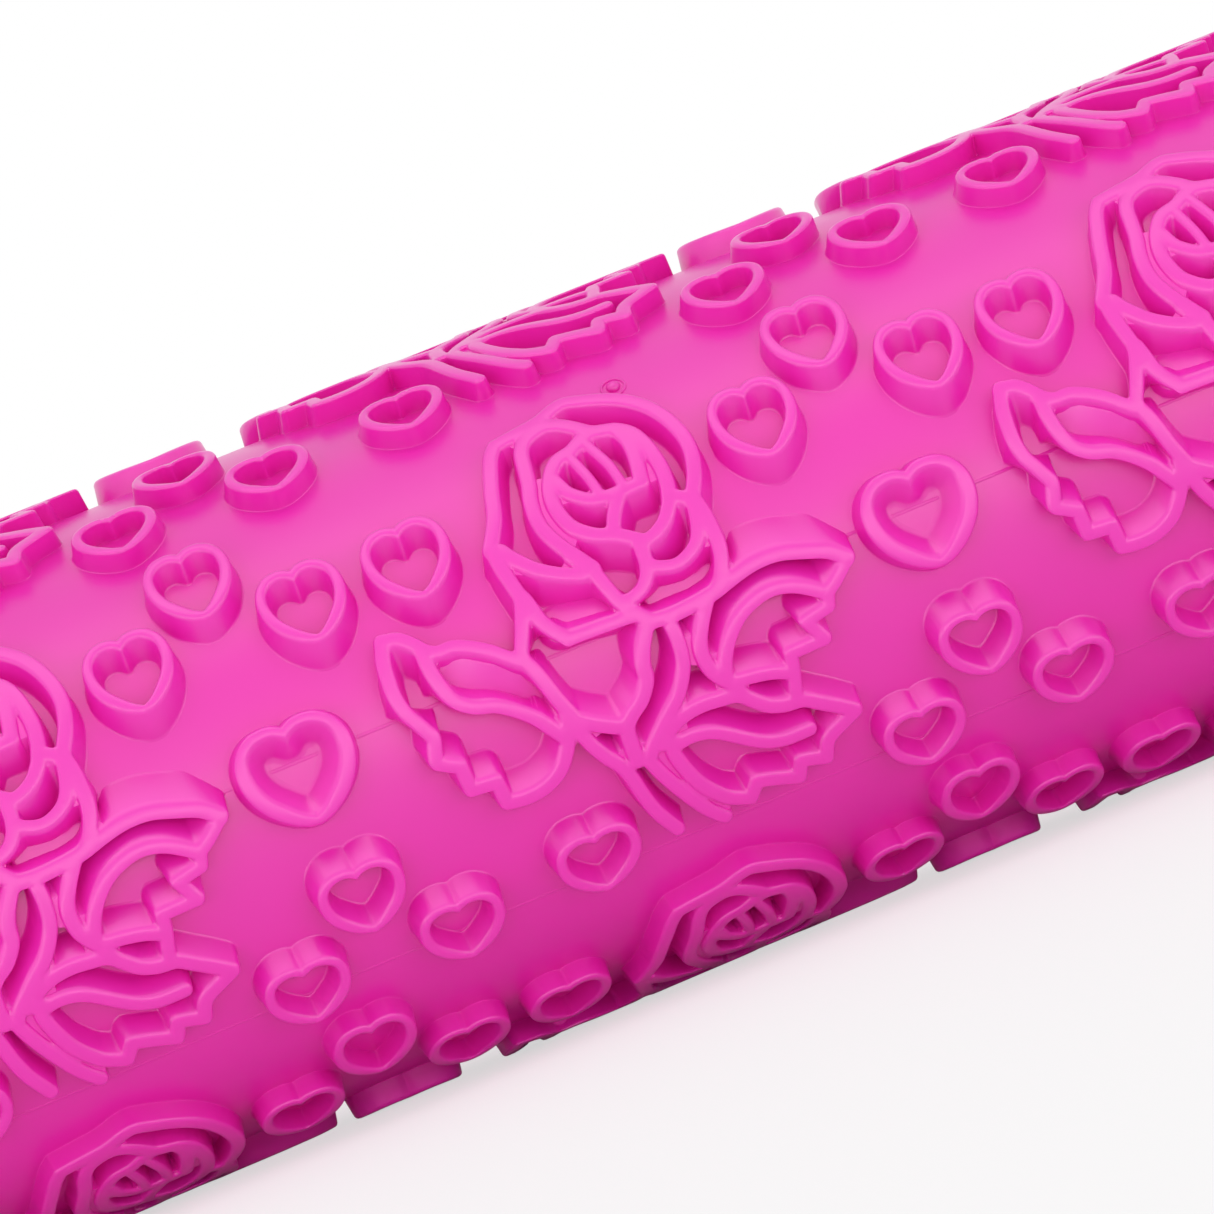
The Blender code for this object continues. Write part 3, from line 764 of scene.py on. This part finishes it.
dress(mould_lines, pink, "roller", "embossed_barrel")

gate_place = ((GATE_SHARES[0] - PATTERN_MIDDLE) * PITCH, -FLOOR_RADIUS, 0)
clear_selection()
bpy.ops.mesh.primitive_uv_sphere_add(segments=32, ring_count=16, radius=GATE_RADIUS,
                                     location=gate_place, rotation=(math.pi / 2, 0, 0))
nub = bpy.context.object
bpy.ops.object.transform_apply(location=True, rotation=True, scale=True)
bpy.ops.object.mode_set(mode="EDIT")
bpy.ops.transform.resize(value=(1, GATE_FLATTENING, 1), center_override=gate_place)
bpy.ops.object.mode_set(mode="OBJECT")
clear_selection()
bpy.ops.mesh.primitive_torus_add(major_segments=48, minor_segments=10, major_radius=GATE_RING_RADIUS,
                                 minor_radius=GATE_RING_THICKNESS, location=gate_place,
                                 rotation=(math.pi / 2, 0, 0))
bpy.ops.object.transform_apply(location=True, rotation=True, scale=True)
nub.select_set(True)
bpy.context.view_layer.objects.active = nub
bpy.ops.object.join()
gate = bpy.context.object
gate.name = gate.data.name = "gate_mark"
turned_round(gate, GATE_SHARES[1])
smooth(gate, 60)
dress(gate, pink, "roller", "embossed_barrel")


# The end caps, of the same pink plastic, pressed into the ends of the tube. The
# face of each is sunk a little between its rounded rim and the ring round its
# bush, and it is hollow inside.
CAP_START = 99.9 * MM
CAP_FACE = 102.9 * MM
CAP_RADIUS = 22.4 * MM
CAP_ROUND = 1.2 * MM
CAP_PLUG_RADIUS = 19.9 * MM
CAP_CUP_RADIUS = 17.3 * MM
CAP_CUP_FLOOR = 100.41 * MM
CAP_HUB_RADIUS = 10.2 * MM
CAP_BORE_RADIUS = 6.8 * MM
CAP_SIDES = 128
CAP_MOUTH_CHAMFER = 0.3 * MM
CAP_BACK_CHAMFER = 0.2 * MM
CAP_PLUG_DEPTH = 8.0 * MM
CAP_PLUG_CHAMFER = 0.6 * MM
CAP_HUB_CHAMFER = 0.4 * MM
CAP_RING_RADIUS = 12.0 * MM
CAP_DISH_RADIUS = 15.7 * MM
CAP_RIM_RADIUS = 19.5 * MM
# How far aside and how deep each place on the slope of the sunk face lies
CAP_SLOPE = ((0, 0), (0.3 * MM, 0.2 * MM), (0.6 * MM, 0.7 * MM), (0.9 * MM, 0.8 * MM))
BUSH_START = 88.9 * MM
ENDS = (("left", -1), ("right", 1))


def rounded(place, radius, size, out, steps=4):
    """Stations round a corner: out is 1 where the face looks along +X and -1 along -X."""
    stations = []
    for step in range(steps + 1):
        angle = math.pi / 2 * step / steps
        along = place - out * size * (1 - math.cos(angle))
        stations.append((along, radius - size * (1 - math.sin(angle))))
    return stations if out > 0 else list(reversed(stations))


def mirrored(stations, side):
    return [(side * along, radius) for along, radius in stations]


for end, side in ENDS:
    profile = [(BUSH_START, CAP_BORE_RADIUS), (CAP_FACE - CAP_MOUTH_CHAMFER, CAP_BORE_RADIUS),
               (CAP_FACE, CAP_BORE_RADIUS + CAP_MOUTH_CHAMFER)]
    profile += [(CAP_FACE - deep, CAP_RING_RADIUS + aside) for aside, deep in CAP_SLOPE]
    profile.append((CAP_FACE - CAP_SLOPE[-1][1], CAP_DISH_RADIUS))
    profile += [(CAP_FACE - deep, CAP_RIM_RADIUS - aside) for aside, deep in reversed(CAP_SLOPE)]
    profile += list(reversed(rounded(CAP_FACE, CAP_RADIUS, CAP_ROUND, 1, 6)))
    profile += [(CAP_START + CAP_BACK_CHAMFER, CAP_RADIUS),
                (CAP_START, CAP_RADIUS - CAP_BACK_CHAMFER), (CAP_START, CAP_PLUG_RADIUS),
                (CAP_START - CAP_PLUG_DEPTH + CAP_PLUG_CHAMFER, CAP_PLUG_RADIUS),
                (CAP_START - CAP_PLUG_DEPTH, CAP_PLUG_RADIUS - CAP_PLUG_CHAMFER),
                (CAP_START - CAP_PLUG_DEPTH, CAP_CUP_RADIUS),
                (CAP_CUP_FLOOR, CAP_CUP_RADIUS), (CAP_CUP_FLOOR, CAP_HUB_RADIUS),
                (BUSH_START + CAP_HUB_CHAMFER, CAP_HUB_RADIUS),
                (BUSH_START, CAP_HUB_RADIUS - CAP_HUB_CHAMFER), (BUSH_START, CAP_BORE_RADIUS)]
    cap = turned("cap_" + end, mirrored(profile, side), CAP_SIDES)
    smooth(cap)
    dress(cap, pink, "roller", "end_cap_" + end)


# The bushes, turned from white nylon and pushed into the caps. The barrel runs
# on them, and the flange of each takes the push from the side.
BUSH_BORE_RADIUS = 4.3 * MM
BUSH_RADIUS = 6.5 * MM
BUSH_SEAT = 103.2 * MM
BUSH_FACE = 104.4 * MM
BUSH_FLAT_RADIUS = 7.6 * MM
BUSH_FLANGE_RADIUS = 9.4 * MM
BUSH_FLANGE_ROUND = 0.35 * MM
BUSH_SIDES = 96
BORE_CHAMFER = 0.3 * MM
BUSH_MOUTH_CHAMFER = 0.4 * MM
BUSH_LEAD = 0.5 * MM
FLANGE_CHAMFER = 0.2 * MM
LATHE_FEED_ACROSS = 0.28 * MM
LATHE_FEED_ALONG = 0.35 * MM
NYLON_WHITES = ((0.77, 0.755, 0.70, 1), (0.83, 0.82, 0.785, 1))


def turned_nylon():
    """Satin off-white nylon with the fine rings of a lathe tool on it."""
    finish = Finish("white_nylon", (0.80, 0.79, 0.75), 0.42, Subsurface_Weight=0.15,
                    Subsurface_Radius=(1.0, 0.95, 0.85), Subsurface_Scale=0.8 * MM)
    rings = (finish.from_axis() * (math.tau / LATHE_FEED_ACROSS)).math("SINE")
    along = (finish.parts["X"] * (math.tau / LATHE_FEED_ALONG)).math("SINE")
    clouds = finish.noise(160, 3.0)
    finish.set_input("Base Color", finish.mix(clouds, *NYLON_WHITES))
    finish.set_input("Roughness", 0.36 + 0.14 * clouds)
    finish.bump(rings + along + 2.0 * clouds, 0.006 * MM)
    return finish.material


nylon = turned_nylon()
for end, side in ENDS:
    profile = [(BUSH_START, BUSH_BORE_RADIUS + BORE_CHAMFER),
               (BUSH_START + BORE_CHAMFER, BUSH_BORE_RADIUS),
               (BUSH_FACE - BUSH_MOUTH_CHAMFER, BUSH_BORE_RADIUS),
               (BUSH_FACE, BUSH_BORE_RADIUS + BUSH_MOUTH_CHAMFER), (BUSH_FACE, BUSH_FLAT_RADIUS)]
    profile += list(reversed(rounded(BUSH_FACE, BUSH_FLANGE_RADIUS, BUSH_FLANGE_ROUND, 1)))
    profile += [(BUSH_SEAT + FLANGE_CHAMFER, BUSH_FLANGE_RADIUS),
                (BUSH_SEAT, BUSH_FLANGE_RADIUS - FLANGE_CHAMFER), (BUSH_SEAT, BUSH_RADIUS),
                (BUSH_START + BUSH_LEAD, BUSH_RADIUS), (BUSH_START, BUSH_RADIUS - BUSH_LEAD),
                (BUSH_START, BUSH_BORE_RADIUS + BORE_CHAMFER)]
    bush = turned("nylon_bush_" + end, mirrored(profile, side), BUSH_SIDES)
    smooth(bush)
    dress(bush, nylon, "roller", "bearing_bush_" + end)


# The axle, a bright steel rod turned down at both ends for the nuts. All of it
# lies inside the barrel and the grips, but for a hair's breadth at the washers.
DRAWN_RINGS = 0.22 * MM
STEEL_GREYS = ((0.56, 0.56, 0.575, 1), (0.66, 0.655, 0.65, 1))


def turned_steel():
    """Bright drawn steel, with rings round the axle and a haze of fine scratches."""
    finish = Finish("bright_steel", (0.60, 0.60, 0.61), 0.28, Metallic=1.0)
    rings = (finish.parts["X"] * (math.tau / DRAWN_RINGS)).math("SINE")
    scratches = finish.noise(900, 3.0, (4, 1, 1))
    clouds = finish.noise(90)
    finish.set_input("Base Color", finish.mix(clouds, *STEEL_GREYS))
    finish.set_input("Roughness", 0.2 + 0.12 * clouds + 0.1 * scratches)
    finish.bump(rings + 2.0 * scratches, 0.003 * MM)
    return finish.material


def refinish(node, material):
    """Give a CAD node that stays in view a better material."""
    for material_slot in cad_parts[node].material_slots:
        material_slot.material = material


steel = turned_steel()
refinish("axle_rod", steel)


# The thrust washers, thin nylon rings that keep the turning bushes off the
# grips, which don't turn with them.
WASHER_START = 104.7 * MM
WASHER_FACE = 105.7 * MM
WASHER_RADIUS = 9.0 * MM
WASHER_BORE_CHAMFER = 0.2 * MM
# How far in from the face and from the rim each place on a rounded edge lies
WASHER_EDGE = ((0, 0.3 * MM), (0.1 * MM, 0.1 * MM), (0.3 * MM, 0))

for end, side in ENDS:
    profile = [(WASHER_START, BUSH_BORE_RADIUS + WASHER_BORE_CHAMFER),
               (WASHER_START + WASHER_BORE_CHAMFER, BUSH_BORE_RADIUS),
               (WASHER_FACE - WASHER_BORE_CHAMFER, BUSH_BORE_RADIUS),
               (WASHER_FACE, BUSH_BORE_RADIUS + WASHER_BORE_CHAMFER)]
    profile += [(WASHER_FACE - deep, WASHER_RADIUS - aside) for deep, aside in WASHER_EDGE]
    profile += [(WASHER_START + deep, WASHER_RADIUS - aside) for deep, aside in reversed(WASHER_EDGE)]
    profile.append((WASHER_START, BUSH_BORE_RADIUS + WASHER_BORE_CHAMFER))
    washer = turned("washer_ring_" + end, mirrored(profile, side), BUSH_SIDES)
    smooth(washer)
    dress(washer, nylon, "grips", "thrust_washer_" + end)


# The grips, moulded in pink plastic: a rounded collar, a slim neck for the
# thumb, a full belly and a rounded tail, with two fine grooves at the collar
# and one before the tail.
GRIP_START = 106.0 * MM
GRIP_END = 189.0 * MM
COLLAR_RADIUS = 10.6 * MM
NECK_RADIUS = 8.2 * MM
BELLY_RADIUS = 13.4 * MM
TAIL_RADIUS = 10.9 * MM
COLLAR_ROUND = 0.8 * MM
GRIP_ROUND = 1.6 * MM
HOLE_STEP = 118.3 * MM
POCKET_FLOOR = 174.0 * MM
POCKET_RADIUS = 7.6 * MM
THREAD_HOLE_RADIUS = 3.3 * MM
GRIP_STATION_SHARES = ((0.04, COLLAR_RADIUS), (0.20, NECK_RADIUS), (0.62, BELLY_RADIUS),
                       (0.97, TAIL_RADIUS))
GRIP_STEPS = 72
GRIP_SIDES = 96
GROOVE_SHARES = (0.052, 0.068, 0.955)
GROOVE_DEPTH = 0.35 * MM
GROOVE_WIDTH = 0.7 * MM
GROOVE_STATIONS = (-0.6, -0.4, -0.2, 0, 0.2, 0.4, 0.6)


def grip_radius(share):
    """The grip's radius at a share of its length, eased from station to station."""
    if share <= GRIP_STATION_SHARES[0][0]:
        return COLLAR_RADIUS
    for (start, first), (end, second) in zip(GRIP_STATION_SHARES, GRIP_STATION_SHARES[1:]):
        if share <= end:
            ease = (1 - math.cos(math.pi * (share - start) / (end - start))) / 2
            return first + (second - first) * ease
    return TAIL_RADIUS


def grip_outline():
    length = GRIP_END - GRIP_START
    outline = rounded(GRIP_START, COLLAR_RADIUS, COLLAR_ROUND, -1, 5)
    shares = {number / GRIP_STEPS for number in range(3, GRIP_STEPS - 2)}
    for groove in GROOVE_SHARES:
        shares = {share for share in shares if abs(share - groove) * length > GROOVE_WIDTH}
        shares |= {groove + GROOVE_WIDTH * offset / length for offset in GROOVE_STATIONS}
    for share in sorted(shares):
        radius = grip_radius(share)
        for groove in GROOVE_SHARES:
            aside = abs(share - groove) * length / (GROOVE_WIDTH / 2)
            if aside < 1:
                radius -= GROOVE_DEPTH * math.sqrt(1 - aside ** 2)
        outline.append((GRIP_START + share * length, radius))
    outline.extend(reversed(rounded(GRIP_END, TAIL_RADIUS, GRIP_ROUND, 1, 6)))
    return outline


for end, side in ENDS:
    profile = [(GRIP_START, BUSH_BORE_RADIUS + BORE_CHAMFER), *grip_outline(),
               (GRIP_END, POCKET_RADIUS + BORE_CHAMFER), (GRIP_END - BORE_CHAMFER, POCKET_RADIUS),
               (POCKET_FLOOR, POCKET_RADIUS), (POCKET_FLOOR, THREAD_HOLE_RADIUS),
               (HOLE_STEP, THREAD_HOLE_RADIUS), (HOLE_STEP, BUSH_BORE_RADIUS),
               (GRIP_START + BORE_CHAMFER, BUSH_BORE_RADIUS),
               (GRIP_START, BUSH_BORE_RADIUS + BORE_CHAMFER)]
    grip = turned("grip_shell_" + end, mirrored(profile, side), GRIP_SIDES)
    smooth(grip, 30)
    dress(grip, pink, "grips", "grip_" + end)


# The steel washers and the nuts that hold the grips on the axle, deep in the
# grips' pockets. They keep their plain shapes, in the axle's bright steel.
for end, side in ENDS:
    refinish("steel_washer_" + end, steel)
    refinish("lock_nut_" + end, steel)


# The end plugs, pink like the grips, pushed into the pockets over the nuts.
# Each has a domed head with a shallow dish in its face.
PLUG_SEAT = 189.3 * MM
PLUG_FACE = 192.1 * MM
PLUG_SHANK_RADIUS = 7.3 * MM
PLUG_RADIUS = 9.8 * MM
PLUG_FLAT_RADIUS = 6.4 * MM
PLUG_BACK = 185.0 * MM
PLUG_CHAMFER = 0.6 * MM
PLUG_SEAT_CHAMFER = 0.3 * MM
PLUG_EDGE = 190.2 * MM
DOME_STEPS = 9
CENTRE_RADIUS = 0.5 * MM
# How deep each place in the dish lies, and how far from the axis
PLUG_DISH = ((0, 5.4 * MM), (0.08 * MM, 5.1 * MM), (0.42 * MM, 4.6 * MM), (0.55 * MM, 4.1 * MM),
             (0.6 * MM, 2.4 * MM), (0.6 * MM, CENTRE_RADIUS))

for end, side in ENDS:
    profile = [(PLUG_BACK, CENTRE_RADIUS), (PLUG_BACK, PLUG_SHANK_RADIUS - PLUG_CHAMFER),
               (PLUG_BACK + PLUG_CHAMFER, PLUG_SHANK_RADIUS), (PLUG_SEAT, PLUG_SHANK_RADIUS),
               (PLUG_SEAT, PLUG_RADIUS - PLUG_SEAT_CHAMFER),
               (PLUG_SEAT + PLUG_SEAT_CHAMFER, PLUG_RADIUS)]
    for step in range(DOME_STEPS + 1):
        angle = math.pi / 2 * step / DOME_STEPS
        profile.append((PLUG_EDGE + (PLUG_FACE - PLUG_EDGE) * math.sin(angle),
                        PLUG_FLAT_RADIUS + (PLUG_RADIUS - PLUG_FLAT_RADIUS) * math.cos(angle)))
    profile += [(PLUG_FACE - deep, radius) for deep, radius in PLUG_DISH]
    plug = turned("plug_" + end, mirrored(profile, side), GRIP_SIDES, closed=False)
    smooth(plug, 30)
    dress(plug, pink, "grips", "end_plug_" + end)


# The stage: a pale floor under the pin, a white surround and soft studio lamps.
# The camera stands where the photograph's did, close in front of the barrel and
# rolled to one side.
STAGE_HEIGHT = -25.05 * MM
STAGE_SIZE = 40
STAGE_GLOW = 0.62
WORLD_LIGHT = 0.67
# Each lamp's place, width and height in metres, and its power in watts. All of
# them look at the middle of the barrel
LAMPS = {
    "overhead_softbox": ((0.0, -0.32, 0.68), 0.9, 0.4, 1.2),
    "left_softbox": ((-0.80, -0.50, 0.40), 0.5, 0.3, 0.25),
    "left_strip": ((-0.80, -0.55, 0.11), 0.6, 0.26, 0.3),
    "right_strip": ((0.80, -0.55, 0.11), 0.6, 0.26, 0.35),
    "front_softbox": ((0.0, -0.90, 0.24), 1.4, 0.5, 0.5),
    "front_strip": ((0.0, -0.46, 0.02), 1.2, 0.09, 0.68),
}

stage_finish = Finish("stage_white", (0.9, 0.9, 0.9), 0.6)
seen = stage_finish.node("ShaderNodeLightPath")["Is Camera Ray"]
inputs = {0: seen * STAGE_GLOW, 1: Term(stage_finish, stage_finish.shader.outputs["BSDF"]),
          2: stage_finish.node("ShaderNodeEmission")["Emission"]}
lit = stage_finish.node("ShaderNodeMixShader", {}, inputs)["Shader"]
stage_finish.fill(stage_finish.tree.nodes["Material Output"].inputs["Surface"], lit)
clear_selection()
bpy.ops.mesh.primitive_plane_add(size=STAGE_SIZE, location=(0, 0, STAGE_HEIGHT))
stage = bpy.context.object
stage.name = "stage_floor"
bpy.ops.object.transform_apply(location=True, rotation=True, scale=True)
stage.data.materials.append(stage_finish.material)

world = bpy.data.worlds.new("studio")
bpy.context.scene.world = world
world.use_nodes = True
surround = Nodes(world.node_tree)
rays = surround.node("ShaderNodeLightPath")
seen = rays["Is Camera Ray"].math("MAXIMUM", rays["Is Glossy Ray"])
seen = seen.math("MAXIMUM", rays["Is Transmission Ray"])
strength = surround.node("ShaderNodeMapRange", {}, {"Value": seen, "To Min": WORLD_LIGHT})["Result"]
background = surround.tree.nodes["Background"]
surround.fill(background.inputs["Color"], (1, 1, 1, 1))
surround.fill(background.inputs["Strength"], strength)

for name, (place, width, height, power) in LAMPS.items():
    lamp = bpy.data.lights.new(name, "AREA")
    lamp.shape = "RECTANGLE"
    lamp.size = width
    lamp.size_y = height
    lamp.energy = power
    holder = bpy.data.objects.new(name, lamp)
    holder.location = place
    holder.rotation_euler = (-Vector(place)).to_track_quat("-Z", "Y").to_euler()
    bpy.context.scene.collection.objects.link(holder)

CAMERA_PLACE = (-24.37 * MM, -348.1 * MM, 0.0)
CAMERA_YAW = math.radians(7.9572)
CAMERA_PITCH = math.radians(0.3951)
CAMERA_ROLL = math.radians(22.4265)
SENSOR_WIDTH = 36
FOCAL_SHARE = 4790.32 / 1214
NEAREST = 0.01

forward = Vector((math.sin(CAMERA_YAW) * math.cos(CAMERA_PITCH),
                  math.cos(CAMERA_YAW) * math.cos(CAMERA_PITCH), math.sin(CAMERA_PITCH)))
level_right = Vector((math.cos(CAMERA_YAW), -math.sin(CAMERA_YAW), 0))
level_down = forward.cross(level_right)
right = math.cos(CAMERA_ROLL) * level_right + math.sin(CAMERA_ROLL) * level_down
down = -math.sin(CAMERA_ROLL) * level_right + math.cos(CAMERA_ROLL) * level_down
camera_data = bpy.data.cameras.new("photo_camera")
camera_data.sensor_width = SENSOR_WIDTH
camera_data.lens = FOCAL_SHARE * SENSOR_WIDTH
camera_data.clip_start = NEAREST
camera = bpy.data.objects.new("photo_camera", camera_data)
turned_to = Matrix((right, -down, -forward)).transposed().to_4x4()
camera.matrix_world = Matrix.Translation(CAMERA_PLACE) @ turned_to
bpy.context.scene.collection.objects.link(camera)
bpy.context.scene.camera = camera

bpy.context.scene.view_settings.view_transform = "Standard"
